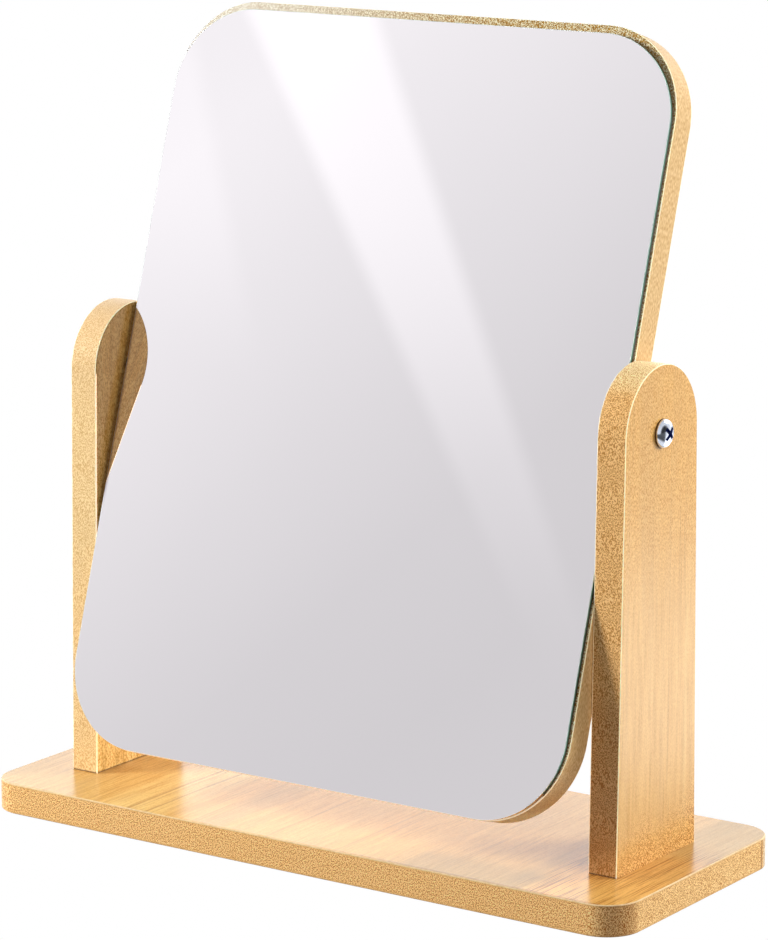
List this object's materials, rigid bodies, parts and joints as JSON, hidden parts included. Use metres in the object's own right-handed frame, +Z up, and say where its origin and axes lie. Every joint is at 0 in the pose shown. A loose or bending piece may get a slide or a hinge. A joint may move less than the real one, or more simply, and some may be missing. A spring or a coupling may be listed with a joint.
{
  "type": "tilting table mirror",
  "caption": "Free-standing table mirror: a rounded rectangular glass on a wood board, turning on two side screws between tapered posts on a flat base.",
  "frame": {"origin": "centre of the base board's underside, on the surface that the mirror stands on", "axes": "+Z up, +X to the right along the base and the pivot axis, -Y to the front where the glass faces"},
  "size_m": [0.288, 0.115, 0.3103],
  "materials": {
    "board": "fibreboard with a light wood-grain foil on its faces and bare speckled golden edges",
    "silvered_glass": "silvered glass with a ground, green edge",
    "mounting_tape": "thin dark foam mounting tape",
    "zinc_screw": "bright bluish zinc plate",
    "brass_insert": "plain turned brass",
    "nylon_washer": "natural nylon",
    "wood_screw": "zinc-plated steel"
  },
  "bodies": {
    "stand": {"base_board": "board", "left_post": "board", "right_post": "board", "left_post_front_screw": "wood_screw", "left_post_rear_screw": "wood_screw", "right_post_front_screw": "wood_screw", "right_post_rear_screw": "wood_screw", "left_friction_washer": "nylon_washer", "right_friction_washer": "nylon_washer"},
    "mirror": {"mirror_board": "board", "mirror_glass": "silvered_glass", "glass_tape_top": "mounting_tape", "glass_tape_bottom": "mounting_tape", "glass_tape_left": "mounting_tape", "glass_tape_right": "mounting_tape", "left_pivot_insert": "brass_insert", "right_pivot_insert": "brass_insert", "left_pivot_screw": "zinc_screw", "right_pivot_screw": "zinc_screw"}
  },
  "joints": [
    {"name": "mirror_tilt", "type": "hinge", "parent": "stand", "child": "mirror", "pos_m": [0, 0, 0.1708], "axis": [1, 0, 0], "continuous": true}
  ]
}
